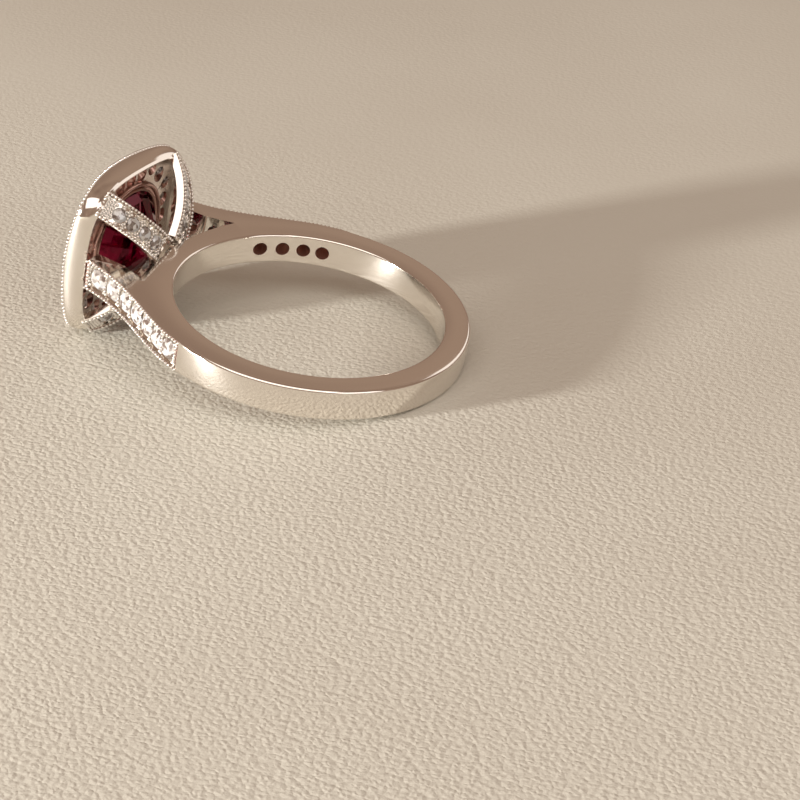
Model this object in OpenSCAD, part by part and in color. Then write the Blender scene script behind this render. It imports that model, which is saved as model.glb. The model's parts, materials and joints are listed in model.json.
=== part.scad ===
// Cocktail ring: a cushion-shaped ruby head with a diamond halo, carried by four diamond-set
// struts over a cathedral band whose shoulders are pave set.
//
// Millimetres. The ring lies on its side as it rests on a table: +Z is up off the table, the
// head points along -X, and Y = 0 is the plane of symmetry. Every piece is drawn in the
// ring's own frame and laid down at the end. In that frame x runs from the finger's centre
// out through the stone, y runs across the head, and z runs along the finger.

/* [Band] */
// Inside radius of the finger bore
bore_r = 8.45; // [7.8:0.05:10]
// Width of the band along the finger
band_w = 2.02; // [1.8:0.02:2.4]
// Thickness of the band opposite the head
band_t = 1.6; // [1.3:0.05:2]
// How far the band's outer circle is shifted towards the head
band_shift = 0.22; // [0:0.02:0.4]
// Rounding of the band's edges
edge_r = 0.28; // [0.1:0.02:0.4]
// Thickness of the bridge under the head
bridge_t = 1.4; // [1.2:0.05:1.6]

/* [Shoulders] */
// Angle from the head at which the pave strip starts
strip_angle = 72; // [66:1:78]
// Height of the milgrain edge above the band
milgrain_rise = 0.1; // [0.05:0.01:0.15]
// Width of one milgrain edge
milgrain_w = 0.18; // [0.14:0.01:0.22]
// Depth of the pave channel below the milgrain edge
channel_depth = 0.14; // [0.08:0.01:0.2]
// Thickness of the open rail where it meets the head
rail_t = 1.15; // [1:0.05:1.3]
// Diamonds on one shoulder
shoulder_stones = 7; // [5:1:7]
// Diameter of a shoulder diamond
shoulder_stone_d = 1.36; // [1.1:0.02:1.4]
// Diameter of the hole behind a shoulder diamond
azure_d = 0.95; // [0.6:0.05:1]

/* [Head frame] */
// Half of the head's width across the finger
head_y = 5.6; // [5.5:0.02:5.7]
// Half of the head's width along the finger
head_z = 5.28; // [5.2:0.02:5.5]
// Squareness of the head's outline, where 2 is a circle
head_power = 5.2; // [4.5:0.1:7]
// Height of the frame's lower edge above the bridge
frame_lift = 2.88; // [2.8:0.02:3.1]
// Height of the frame's wall at the middle of a side
frame_h = 1.72; // [1.66:0.02:1.8]
// Radius of the dome that shapes the frame's front edge
dome_r = 15; // [14.5:0.1:18]
// Thickness of the frame's wall
frame_t = 0.42; // [0.38:0.02:0.46]
// Height of the bevel under the frame's wall
bevel_h = 0.6; // [0.4:0.05:0.7]
// Width of the bevel under the frame's wall
bevel_w = 0.34; // [0.2:0.02:0.36]

/* [Halo] */
// Diamonds along one side of the halo, without the corners
halo_stones = 5; // [3:1:5]
// Diameter of a halo diamond
halo_stone_d = 1.04; // [0.9:0.02:1.06]
// Diameter of a corner diamond
corner_stone_d = 1.26; // [1:0.02:1.3]
// Distance between neighbouring halo diamonds
halo_pitch = 1.28; // [1.2:0.02:1.3]
// Thickness of the halo plate at the middle of a side
plate_t = 0.75; // [0.6:0.05:0.8]

/* [Ruby] */
// Half of the ruby's width
ruby_half = 3.35; // [3.2:0.05:3.4]
// Squareness of the ruby's outline, where 2 is a circle
ruby_power = 2.2; // [2.1:0.1:2.6]
// Height of the ruby's girdle above the bridge
girdle_lift = 4.15; // [4.1:0.05:4.2]
// Height of the crown above the girdle
ruby_crown = 1.1; // [0.9:0.05:1.15]
// Depth of the pavilion below the girdle
ruby_pavilion = 2.5; // [2.2:0.05:2.6]
// Thickness of the collet round the ruby
collet_t = 0.42; // [0.38:0.02:0.44]

/* [Struts] */
// Width of a strut
strut_w = 1.76; // [1.6:0.02:1.8]
// Thickness of a strut
strut_t = 0.58; // [0.56:0.01:0.7]
// Distance of a strut's top from the head's axis
strut_reach = 6.1; // [5.9:0.05:6.2]
// Outward bow of a strut from its straight line
strut_bow = 0.7; // [0.5:0.05:0.8]
// Diamonds on one strut
strut_stones = 4; // [3:1:4]
// Diameter of a strut diamond
strut_stone_d = 0.96; // [0.8:0.02:0.98]
// Distance between neighbouring strut diamonds
strut_pitch = 1.16; // [1.1:0.02:1.2]

/* [Hidden] */
STONE_NODES = [
    for (side = ["near", "far"]) for (i = [1:shoulder_stones]) str("shoulder_diamond_", side, "_", i)
];
CORNERS = ["near_top", "far_top", "far_bottom", "near_bottom"];
SIDES = ["near", "top", "far", "bottom"];

white_metal = "lightgray";
diamond_white = "aliceblue";
ruby_red = "crimson";

curve_steps = 28;      // straight pieces in one shoulder curve
outline_steps = 96;    // straight pieces round a cushion outline
fit_gap = 0.01;        // room between a stone and its seat
cut_over = 1;          // how far a cutter runs past the metal

outer_r = bore_r + band_t + band_shift;
bridge_r = bore_r + bridge_t;
half_w = band_w / 2;

// Heights along the head's axis, from the finger's centre.
base_top = bridge_r + 0.34;
frame_low = bridge_r + frame_lift;
frame_high = frame_low + frame_h;
dome_centre = frame_high - sqrt(pow(dome_r, 2) - pow(head_y, 2));
girdle_at = bridge_r + girdle_lift;
plate_inset = 0.38;    // how far the halo plate lies behind the frame's front edge
plate_dome_r = dome_r - plate_inset;
collet_outline = [ruby_half + collet_t, ruby_half + collet_t];
collet_hole = [ruby_half - 0.25, ruby_half - 0.25];
collet_low = girdle_at - 0.6;
collet_high = girdle_at + 0.75;
head_outline = [head_y, head_z];
inner_outline = [head_y - frame_t, head_z - frame_t];
halo_outline = (inner_outline + collet_outline) / 2;
plate_low = dome_height(plate_dome_r, halo_outline[0]) - plate_t;

// The ring rests on the band's far end and on the frame's lower side, above its bevel. The lean
// of the finger axis brings both to the table.
lean_rise = head_z - half_w + edge_r;
lean_run = frame_low + bevel_h + outer_r - band_shift - edge_r;
lean = acos(edge_r / norm([lean_rise, lean_run])) - atan2(lean_run, lean_rise);
heel_u = outer_r - band_shift - edge_r;
heel_w = half_w - edge_r;
rest_z = heel_u * sin(lean) + heel_w * cos(lean) + edge_r;
heel_x = heel_u * cos(lean) + heel_w * sin(lean) + edge_r;
toe_x = dome_height(dome_r, head_z) * cos(lean) + head_z * sin(lean);
rest_x = (toe_x - heel_x) / 2;

// Height of the domed front at a distance from the head's axis.
function dome_height(r, distance) = dome_centre + sqrt(pow(r, 2) - pow(distance, 2));

// One point of a cushion outline at angle a. half holds its half widths.
function cushion_point(half, power, a) = [
    half[0] * sign(cos(a)) * pow(abs(cos(a)), 2 / power),
    half[1] * sign(sin(a)) * pow(abs(sin(a)), 2 / power)
];

// Shoulder curve: a cubic that leaves the band along its outer circle and rises to the
// frame's lower edge.
strip_r = outer_r + milgrain_rise;
curve_start = [band_shift + strip_r * cos(strip_angle), strip_r * sin(strip_angle)];
curve_end = [frame_low, head_y + 0.04];
start_pull = 3 * [sin(strip_angle), -cos(strip_angle)];
end_pull = 3.44 * [cos(6), -sin(6)];
function shoulder_point(t) =
    pow(1 - t, 3) * curve_start
    + 3 * pow(1 - t, 2) * t * (curve_start + start_pull)
    + 3 * (1 - t) * pow(t, 2) * (curve_end - end_pull)
    + pow(t, 3) * curve_end;
function shoulder_slope(t) = shoulder_point(t + 0.001) - shoulder_point(t - 0.001);
function shoulder_normal(t) = [-shoulder_slope(t)[1], shoulder_slope(t)[0]] / norm(shoulder_slope(t));
function inset_point(t, depth) = shoulder_point(t) - depth * shoulder_normal(t);

// The gallery window ends in a tip on each side. The bridge's top is an arc between the tips.
rail_top = curve_end[1] - rail_t;
window_tip = [bridge_r - 1.05, rail_top + 0.75];
tip_rise = bridge_r - window_tip[0];
bridge_crown_r = (pow(window_tip[1], 2) + pow(tip_rise, 2)) / (2 * tip_rise);

// Running length of the shoulder curve, so that the diamonds are evenly spaced on it.
function run(t) = t <= 0 ? 0 : run(t - 1 / curve_steps)
    + norm(shoulder_point(t) - shoulder_point(t - 1 / curve_steps));
run_table = [for (i = [0:curve_steps]) [run(i / curve_steps), i / curve_steps]];
strip_end_margin = 0.2;    // plain metal at each end of the pave strip
strip_len = run(1) - 2 * strip_end_margin;
function stone_t(i) = lookup(strip_end_margin + strip_len * (i - 0.5) / shoulder_stones, run_table);

// A strut's outer arc, in the plane through the head's axis and a corner.
strut_top = [frame_low + 0.05, strut_reach];
strut_foot = [base_top - 0.1, 0.3];
strut_chord = strut_foot - strut_top;
strut_r = (pow(norm(strut_chord) / 2, 2) + pow(strut_bow, 2)) / (2 * strut_bow);
strut_inward = [-strut_chord[1], strut_chord[0]] / norm(strut_chord);
strut_centre = (strut_top + strut_foot) / 2 + (strut_r - strut_bow) * strut_inward;
strut_mid_angle = atan2(-strut_inward[1], -strut_inward[0]);
function strut_angle(i) = strut_mid_angle
    + (i - (strut_stones + 1) / 2) * strut_pitch / strut_r * 180 / PI - 3;

// Lays the ring on the table.
module lay_down() {
    translate([rest_x, 0, rest_z]) rotate([0, lean, 0]) rotate([0, 0, 180]) children();
}

// Turns a shape's +Z to the direction dir.
module aim(dir) {
    rotate([0, acos(dir[2] / norm(dir)), atan2(dir[1], dir[0])]) children();
}

// Flips a shape to the far side of the head.
module on_side(side) {
    mirror([0, side == "far" ? 1 : 0, 0]) children();
}

// A straight prism with a cushion outline, from one height to another along the head's axis.
module cushion_prism(half, power, low, high) {
    translate([low, 0, 0]) rotate([90, 0, 90]) linear_extrude(high - low)
        polygon([for (i = [0:outline_steps - 1]) cushion_point(half, power, 360 * i / outline_steps)]);
}

// A solid through cushion outlines of one shape. Each level is [share of the full width, height],
// from the highest to the lowest, and has the same number of flat sides.
module cushion_stack(half, power, levels, sides) {
    last = len(levels) - 1;
    points = [
        for (level = levels) for (k = [0:sides - 1])
            let (edge = level[0] * cushion_point(half, power, 360 * (k + 0.5) / sides))
            [level[1], edge[0], edge[1]]
    ];
    faces = concat(
        [[for (k = [sides - 1:-1:0]) k]],
        [for (n = [0:last - 1]) for (k = [0:sides - 1]) let (next = (k + 1) % sides)
            [n * sides + k, n * sides + next, (n + 1) * sides + next, (n + 1) * sides + k]],
        [[for (k = [0:sides - 1]) last * sides + k]]
    );
    polyhedron(points, faces);
}

// The ball whose surface domes the head's front, with its seam turned away from the head.
module dome(r) {
    translate([dome_centre, 0, 0]) rotate([0, 0, 180]) sphere(r, $fn = 180);
}

// A round brilliant with its girdle's upper edge at z = 0 and its table facing +Z.
module brilliant(d) {
    r = d / 2 - fit_gap;
    table_r = 0.57 * r;
    star_r = 0.79 * r;
    lower_r = 0.26 * r;
    crown = 0.32 * r;
    girdle = 0.07 * r;
    depth = 0.88 * r;
    star_z = crown * (r - star_r * cos(22.5)) / (r - table_r);
    lower_z = -depth + (depth - girdle) * lower_r * cos(22.5) / r;
    points = concat(
        [for (k = [0:7]) [table_r * cos(45 * k), table_r * sin(45 * k), crown]],
        [for (k = [0:7]) [star_r * cos(45 * k + 22.5), star_r * sin(45 * k + 22.5), star_z]],
        [for (k = [0:15]) [r * cos(22.5 * k), r * sin(22.5 * k), 0]],
        [for (k = [0:15]) [r * cos(22.5 * k), r * sin(22.5 * k), -girdle]],
        [for (k = [0:7]) [lower_r * cos(45 * k + 22.5), lower_r * sin(45 * k + 22.5), lower_z]],
        [[0, 0, -depth]]
    );
    star = 8;
    top = 16;
    under = 32;
    lower = 48;
    culet = 56;
    faces = concat(
        [[for (k = [7:-1:0]) k]],
        [for (k = [0:7]) [k, (k + 1) % 8, star + k]],
        [for (k = [0:7]) [k, star + k, top + 2 * k, star + (k + 7) % 8]],
        [for (k = [0:7]) [star + k, top + 2 * k + 1, top + 2 * k]],
        [for (k = [0:7]) [star + k, top + (2 * k + 2) % 16, top + 2 * k + 1]],
        [for (k = [0:15]) [top + k, top + (k + 1) % 16, under + (k + 1) % 16, under + k]],
        [for (k = [0:7]) [lower + k, under + 2 * k, under + 2 * k + 1]],
        [for (k = [0:7]) [lower + k, under + 2 * k + 1, under + (2 * k + 2) % 16]],
        [for (k = [0:7]) [culet, lower + (k + 7) % 8, under + 2 * k, lower + k]]
    );
    polyhedron(points, faces);
}

// The seat of a brilliant: a round pocket, its cone and a hole through the metal behind.
module seat(d, hole_d, hole_depth) {
    girdle = 0.07 * d / 2;
    translate([0, 0, -girdle]) cylinder(d = d, h = cut_over, $fn = 48);
    translate([0, 0, -0.88 * d / 2]) cylinder(d1 = 0.02, d2 = d, h = 0.88 * d / 2 - girdle, $fn = 48);
    translate([0, 0, -hole_depth]) cylinder(d = hole_d, h = hole_depth, $fn = 48);
}

// Places a shape at shoulder diamond i.
module at_shoulder_stone(i) {
    t = stone_t(i);
    translate(concat(inset_point(t, channel_depth), [0]))
        aim(concat(shoulder_normal(t), [0])) children();
}

// Places a shape at diamond i of strut k.
module at_strut_stone(k, i) {
    a = strut_angle(i);
    rotate([45 + 90 * k, 0, 0])
        translate(concat(strut_centre + (strut_r - channel_depth) * [cos(a), sin(a)], [0]))
            aim([cos(a), sin(a), 0]) children();
}

// Places a shape on the domed halo plate at a point across the head.
module at_halo_stone(across) {
    place = [dome_height(plate_dome_r, norm(across)), across[0], across[1]];
    translate(place) aim(place - [dome_centre, 0, 0]) children();
}

// Places across the head of the diamonds on halo side k, where 0 is the near side.
function halo_side_points(k) = [
    for (i = [0:halo_stones - 1])
        let (along = (i - (halo_stones - 1) / 2) * halo_pitch)
        [
            halo_outline[0] * cos(90 * k) - along * sin(90 * k),
            halo_outline[1] * sin(90 * k) + along * cos(90 * k)
        ]
];
halo_corner = (
    cushion_point(inner_outline, head_power, 45)
    + cushion_point(collet_outline, ruby_power, 45)
) / 2;
halo_corner_points = [for (y = [-1, 1]) for (z = [-1, 1]) [y * halo_corner[0], z * halo_corner[1]]];

// The band as a disc with a rounded rim.
module band_disc() {
    translate([band_shift, 0, 0]) rotate_extrude($fn = 180) {
        translate([0, -half_w]) square([outer_r - edge_r, band_w]);
        translate([0, -half_w + edge_r]) square([outer_r, band_w - 2 * edge_r]);
        for (end = [-1, 1])
            translate([outer_r - edge_r, end * (half_w - edge_r)]) circle(edge_r, $fn = 48);
    }
}

// The finger bore with rounded mouths.
module finger_bore() {
    rotate_extrude($fn = 180) {
        translate([0, -half_w - cut_over]) square([bore_r, band_w + 2 * cut_over]);
        for (end = [0, 1]) mirror([0, end]) difference() {
            translate([0, half_w - edge_r]) square([bore_r + edge_r, edge_r + cut_over]);
            translate([bore_r + edge_r, half_w - edge_r]) circle(edge_r, $fn = 48);
        }
    }
}

// Both shoulders as one plate, out to the milgrain edge.
module shoulder_blank() {
    near_edge = [for (i = [0:curve_steps]) shoulder_point(i / curve_steps)];
    far_edge = [for (i = [curve_steps:-1:0]) [near_edge[i][0], -near_edge[i][1]]];
    translate([0, 0, -half_w]) linear_extrude(band_w) polygon(concat(near_edge, far_edge));
}

// The recess between the milgrain edges of one shoulder.
module pave_channel() {
    first = lookup(strip_end_margin, run_table);
    last = lookup(run(1) - strip_end_margin, run_table);
    steps = [for (i = [0:curve_steps]) first + (last - first) * i / curve_steps];
    floor_edge = [for (t = steps) inset_point(t, channel_depth)];
    open_edge = [for (i = [curve_steps:-1:0]) inset_point(steps[i], -cut_over)];
    channel_w = band_w - 2 * milgrain_w;
    translate([0, 0, -channel_w / 2]) linear_extrude(channel_w) polygon(concat(floor_edge, open_edge));
}

// The opening between the rails, the bridge and the head.
module gallery_window() {
    rail_edge = [window_tip, [bridge_r + 0.8, rail_top + 0.12], [frame_low + cut_over, rail_top]];
    far_edge = [for (i = [2:-1:0]) [rail_edge[i][0], -rail_edge[i][1]]];
    translate([0, 0, -half_w - cut_over]) linear_extrude(band_w + 2 * cut_over) difference() {
        polygon(concat(rail_edge, far_edge));
        translate([bridge_r - bridge_crown_r, 0]) circle(bridge_crown_r, $fn = 180);
    }
}

module shank() {
    lay_down() color(white_metal) difference() {
        union() {
            band_disc();
            shoulder_blank();
        }
        finger_bore();
        gallery_window();
        for (side = ["near", "far"]) on_side(side) {
            pave_channel();
            for (i = [1:shoulder_stones]) at_shoulder_stone(i) seat(shoulder_stone_d, azure_d, 3);
        }
    }
}

// The round seat that joins the four strut feet to the bridge.
module head_base() {
    lay_down() color(white_metal) difference() {
        translate([bridge_r - 0.2, 0, 0]) rotate([0, 90, 0])
            cylinder(r = half_w - 0.02, h = base_top - bridge_r + 0.2, $fn = 64);
        translate([bridge_r - bridge_crown_r, 0, -half_w - cut_over])
            cylinder(r = bridge_crown_r, h = band_w + 2 * cut_over, $fn = 180);
    }
}

// The frame's wall, domed on its front edge and bevelled underneath.
module head_frame() {
    levels = [
        [1, frame_high + cut_over], [1, frame_low + bevel_h], [1 - bevel_w / head_y, frame_low]
    ];
    lay_down() color(white_metal) intersection() {
        difference() {
            cushion_stack(head_outline, head_power, levels, outline_steps);
            cushion_prism(inner_outline, head_power, frame_low - cut_over, frame_high + 2 * cut_over);
        }
        dome(dome_r);
    }
}

// The domed plate that holds the halo, between the frame and the collet.
module halo_plate() {
    lay_down() color(white_metal) difference() {
        intersection() {
            cushion_prism(inner_outline, head_power, plate_low, frame_high);
            dome(plate_dome_r);
        }
        cushion_prism(collet_outline, ruby_power, plate_low - cut_over, frame_high + cut_over);
        for (k = [0:3]) for (across = halo_side_points(k))
            at_halo_stone(across) seat(halo_stone_d, 0.55 * halo_stone_d, 2);
        for (across = halo_corner_points)
            at_halo_stone(across) seat(corner_stone_d, 0.55 * corner_stone_d, 2);
    }
}

// The collar round the ruby, with a ledge below the girdle and a lip above it.
module ruby_collet() {
    groove = ruby_half + 2 * fit_gap;
    lay_down() color(white_metal) difference() {
        cushion_prism(collet_outline, ruby_power, collet_low, collet_high);
        cushion_prism(collet_hole, ruby_power, collet_low - cut_over, collet_high + cut_over);
        cushion_prism([groove, groove], ruby_power, girdle_at - 0.38, girdle_at + 0.36);
    }
}

// The ruby: a cushion with two steps on its crown and three on its pavilion.
module ruby() {
    girdle = 0.08;
    levels = [
        [0.6, ruby_crown], [0.86, 0.58 * ruby_crown], [1, girdle], [1, -girdle],
        [0.8, -0.36 * ruby_pavilion], [0.45, -0.74 * ruby_pavilion], [0.06, -ruby_pavilion]
    ];
    lay_down() color(ruby_red) translate([girdle_at, 0, 0])
        cushion_stack([ruby_half, ruby_half], ruby_power, levels, 16);
}

// Strut k, a bowed ribbon from the base to a corner of the frame.
module strut(k) {
    lay_down() color(white_metal) difference() {
        intersection() {
            rotate([45 + 90 * k, 0, 0]) translate([strut_centre[0], strut_centre[1], -strut_w / 2])
                difference() {
                    cylinder(r = strut_r, h = strut_w, $fn = 180);
                    translate([0, 0, -cut_over])
                        cylinder(r = strut_r - strut_t, h = strut_w + 2 * cut_over, $fn = 180);
                }
            rotate([90 * k, 0, 0]) translate([base_top, 0, 0])
                cube([plate_low - base_top, head_y, head_y]);
            cushion_prism(inner_outline, head_power, base_top - cut_over, plate_low + cut_over);
        }
        for (i = [1:strut_stones]) at_strut_stone(k, i) seat(strut_stone_d, 0.5 * strut_stone_d, 1.4);
    }
}

module strut_diamonds(k) {
    lay_down() color(diamond_white) for (i = [1:strut_stones])
        at_strut_stone(k, i) brilliant(strut_stone_d);
}

module halo_diamonds(k) {
    lay_down() color(diamond_white) for (across = halo_side_points(k))
        at_halo_stone(across) brilliant(halo_stone_d);
}

module halo_corner_diamonds() {
    lay_down() color(diamond_white) for (across = halo_corner_points)
        at_halo_stone(across) brilliant(corner_stone_d);
}

module shoulder_diamond(side, i) {
    lay_down() color(diamond_white) on_side(side) at_shoulder_stone(i) brilliant(shoulder_stone_d);
}

shank();
head_base();
head_frame();
halo_plate();
ruby_collet();
ruby();
for (k = [0:3]) {
    strut(k);
    strut_diamonds(k);
    halo_diamonds(k);
}
halo_corner_diamonds();
for (side = ["near", "far"]) for (i = [1:shoulder_stones])
    shoulder_diamond(side, i);
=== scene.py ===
"""Looks of a cocktail ring: polished white metal, a ruby head and pave-set diamonds.

Shapes are drawn in the ring's own frame, in millimetres, and laid on the table at the end. In
that frame u runs from the finger's centre out through the stone, v runs across the head and w
runs along the finger. The sizes below are part.scad's own.
"""
import json
import math
import random

import bmesh
import bpy
from mathutils import Matrix, Vector


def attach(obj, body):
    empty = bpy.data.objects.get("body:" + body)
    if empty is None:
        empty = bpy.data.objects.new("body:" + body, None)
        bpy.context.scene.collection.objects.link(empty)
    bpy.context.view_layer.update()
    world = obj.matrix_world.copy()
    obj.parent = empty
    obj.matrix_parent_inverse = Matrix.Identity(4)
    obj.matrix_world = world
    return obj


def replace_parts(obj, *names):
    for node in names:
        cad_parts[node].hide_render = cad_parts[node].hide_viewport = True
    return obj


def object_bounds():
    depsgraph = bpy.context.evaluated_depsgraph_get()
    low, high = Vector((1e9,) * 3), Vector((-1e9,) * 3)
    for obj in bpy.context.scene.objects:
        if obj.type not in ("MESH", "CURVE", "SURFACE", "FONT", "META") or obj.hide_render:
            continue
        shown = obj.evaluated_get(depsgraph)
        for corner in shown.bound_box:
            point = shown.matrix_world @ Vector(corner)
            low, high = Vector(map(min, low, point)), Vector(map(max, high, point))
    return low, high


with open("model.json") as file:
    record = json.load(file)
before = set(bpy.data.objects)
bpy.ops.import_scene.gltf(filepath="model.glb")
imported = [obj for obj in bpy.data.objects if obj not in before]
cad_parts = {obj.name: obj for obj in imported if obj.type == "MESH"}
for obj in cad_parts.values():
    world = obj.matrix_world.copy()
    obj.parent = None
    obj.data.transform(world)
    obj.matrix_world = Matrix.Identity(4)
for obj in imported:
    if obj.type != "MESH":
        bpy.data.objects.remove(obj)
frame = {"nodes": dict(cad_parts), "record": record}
CAD_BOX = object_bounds()

# The ring's frame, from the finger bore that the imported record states.
BORE = next(m for m in frame["record"]["mounts"] if m["name"] == "finger_bore")
ALONG_W = Vector(BORE["axis"]).normalized()
ALONG_V = Vector((0, -1, 0))
ALONG_U = ALONG_V.cross(ALONG_W)
RING = (
    Matrix.Translation(BORE["pos_m"])
    @ Matrix((ALONG_U, ALONG_V, ALONG_W)).transposed().to_4x4()
    @ Matrix.Scale(0.001, 4)
)

# Band
BORE_R = BORE["dims"]["r_mm"]
HALF_W = 1.01
BAND_T = 1.6
BAND_SHIFT = 0.22
OUTER_R = BORE_R + BAND_T + BAND_SHIFT
BRIDGE_T = 1.4
BRIDGE_R = BORE_R + BRIDGE_T
BAND_EDGE = 0.2
BORE_EDGE = 0.15
SHOULDER_EDGE = 0.05
EDGE_BLEND = 0.12  # radians past the shoulder in which the band's edge gets rounder

# Shoulders
STRIP_ANGLE = math.radians(72)
MILGRAIN_RISE = 0.1
MILGRAIN_W = 0.18
CHANNEL_DEPTH = 0.14
CHANNEL_FLOOR = CHANNEL_DEPTH + 0.05
CHANNEL_TOP = 0.6  # how far its cutter stands over the strip
STRIP_BLEND = 0.25  # share of the shoulder's curve over which the strip's edge rises
STRIP_ENDS = (0.012, 0.985)  # where its end rows of beads lie on that curve
SHOULDER_STONE_D = 1.36
AZURE_D = 0.9
STRIP_MARGIN = 0.2
SHOULDER_STONES = 7

# Gallery window between the two shoulders, over the bridge
RAIL_T = 1.15
WINDOW_FALL = 1.05  # how far its floor falls from the middle to the ends
WINDOW_FLARE = 0.75  # how much further out its sides are at the floor than at the frame
WINDOW_BEND = (0.8, 0.12)  # where its side bends: u past the bridge, v past the rail
OVERCUT = 1  # how far a cutter passes out of the metal

# Head
HEAD = (5.6, 5.28)
HEAD_POWER = 5.2
FRAME_LIFT = 2.88
FRAME_H = 1.72
FRAME_LOW = BRIDGE_R + FRAME_LIFT
FRAME_HIGH = FRAME_LOW + FRAME_H
DOME_R = 15.0
DOME_CENTRE = FRAME_HIGH - math.sqrt(DOME_R**2 - HEAD[0] ** 2)
FRAME_T = 0.42
BEVEL_H = 0.14
BEVEL_W = 0.12
ARCH = 0.34
ARCH_SPAN = 0.87  # share of the half width at which the arch comes down to the corner
SOFTER_BACK = 0.9  # how much less square the wall's back is than its front
WALL_INSET = (0.19, 0.05)  # at its back and its front
RUBY_HALF = 3.35
GIRDLE_AT = BRIDGE_R + 4.15
COLLET_POWER = 2.2
COLLET_T = 0.42
COLLET_LIP = 0.25  # how far the collet's inner edges stand in over the ruby
COLLET_BACK = GIRDLE_AT - 0.6
COLLET_FRONT = GIRDLE_AT + 0.75
COLLET_HALF = (RUBY_HALF + COLLET_T, RUBY_HALF + COLLET_T)

# Halo
PLATE_DOME_R = DOME_R - 0.38
PLATE_T = 0.75
HALO_STONES = 5
HALO_STONE_D = 1.04
CORNER_STONE_D = 1.26
HALO_PITCH = 1.28
HALO_HOLE = 0.55  # share of a halo diamond's diameter
POCKET_RISE = 0.44  # how far behind the plate's front a diamond's hole starts to flare
POCKET_FLARE = 0.3
HALO_SEAT_DEPTH = 2
HALO_GRAINS = (-0.46, -0.28, 0.28, 0.46)  # places across the row, between two diamonds

# Struts. Their outer arc's top and foot are (u, distance from the head's middle).
BASE_TOP = BRIDGE_R + 0.34
STRUT_W = 1.76
STRUT_T = 0.58
STRUT_RIDGE = 0.17
STRUT_CHANNEL = CHANNEL_DEPTH + 0.06
STRUT_TOP = Vector((FRAME_LOW + 0.05, 6.1))
STRUT_FOOT = Vector((BASE_TOP - 0.1, 0.3))
STRUT_BOW = 0.7
STRUT_STONES = 4
STRUT_PITCH = 1.16
STRUT_STONE_D = 0.96
STRUT_HOLE_D = 0.5 * STRUT_STONE_D
STRUT_SEAT_DEPTH = 1.4
STRUT_CHORD = STRUT_FOOT - STRUT_TOP
STRUT_R = ((STRUT_CHORD.length / 2) ** 2 + STRUT_BOW**2) / (2 * STRUT_BOW)
STRUT_INWARD = Vector((-STRUT_CHORD.y, STRUT_CHORD.x)).normalized()
STRUT_CENTRE = (STRUT_TOP + STRUT_FOOT) / 2 + (STRUT_R - STRUT_BOW) * STRUT_INWARD
STRUT_MID = math.atan2(-STRUT_INWARD.y, -STRUT_INWARD.x)
STRUT_LOW = math.acos((BASE_TOP - 0.05 - STRUT_CENTRE.x) / STRUT_R)
STRUT_HIGH = math.acos((FRAME_LOW + 0.2 - STRUT_CENTRE.x) / STRUT_R)
STRUT_STEPS = 40
STRUT_TURNS = [
    STRUT_MID + (i - (STRUT_STONES - 1) / 2) * STRUT_PITCH / STRUT_R - math.radians(3)
    for i in range(STRUT_STONES)
]

# A diamond's seat. Its pavilion and girdle are shares of the diamond's radius.
PAVILION = 0.88
GIRDLE = 0.07
SEAT_TOP = 0.3
SEAT_DEPTH = 3

# Milgrain beads and grains. A grain's place is (across, along) from the middle between two
# diamonds, on either half of the channel.
BEAD_R = 0.095
BEAD_PITCH = 0.26
BEAD_RISE = 0.04
GRAIN_R = 0.1
GRAIN_PITCH = 0.2
GRAIN_LIFT = 0.03  # over the shoulder diamonds' girdles
STRUT_GRAIN_LIFT = 0.08  # over the floor of the strut's channel
FIELD_GRAIN_LIFT = 0.06
SHOULDER_GRAINS = ((0.62, -0.1), (0.62, 0.1), (0.42, -0.02), (0.2, 0.0))
STRUT_GRAINS = ((0.6, 0.0), (0.44, 0.14), (0.44, -0.14), (0.3, 0.0), (0.1, 0.0), (0.6, 0.58))
SIDES = ("near", "far")
CORNERS = ("near_top", "far_top", "far_bottom", "near_bottom")
random.seed(7)


# ---------------------------------------------------------------- materials


def new_material(name):
    """An empty node material with its output, and a function that adds nodes to it."""
    material = bpy.data.materials.new(name)
    material.use_nodes = True
    tree = material.node_tree
    tree.nodes.clear()
    output = tree.nodes.new("ShaderNodeOutputMaterial")

    def add(kind, inputs=None, **settings):
        node = tree.nodes.new(kind)
        for key, value in settings.items():
            setattr(node, key, value)
        for key, value in (inputs or {}).items():
            if isinstance(value, bpy.types.NodeSocket):
                tree.links.new(value, node.inputs[key])
            else:
                node.inputs[key].default_value = value
        return node

    return material, output, add, tree


def white_metal(name, colour, roughness, scratch):
    """White gold: roughness that drifts between two values, and hairline polishing marks."""
    material, output, add, tree = new_material(name)
    place = add("ShaderNodeTexCoord").outputs["Object"]
    drift = add("ShaderNodeTexNoise", {"Vector": place, "Scale": 420.0, "Detail": 5.0})
    rough = add(
        "ShaderNodeMapRange",
        {"Value": drift.outputs["Fac"], "To Min": roughness[0], "To Max": roughness[1]},
    )
    stretched = add(
        "ShaderNodeMapping", {"Vector": place, "Scale": (900.0, 900.0, 14000.0)}
    )
    marks = add(
        "ShaderNodeTexNoise",
        {"Vector": stretched.outputs["Vector"], "Scale": 1.0, "Detail": 3.0},
    )
    ripple = add(
        "ShaderNodeBump",
        {"Height": marks.outputs["Fac"], "Strength": scratch, "Distance": 0.00001},
    )
    shader = add(
        "ShaderNodeBsdfPrincipled",
        {
            "Base Color": (*colour, 1),
            "Metallic": 1.0,
            "Roughness": rough.outputs["Result"],
            "Normal": ripple.outputs["Normal"],
        },
    )
    tree.links.new(shader.outputs["BSDF"], output.inputs["Surface"])
    return material


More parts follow.
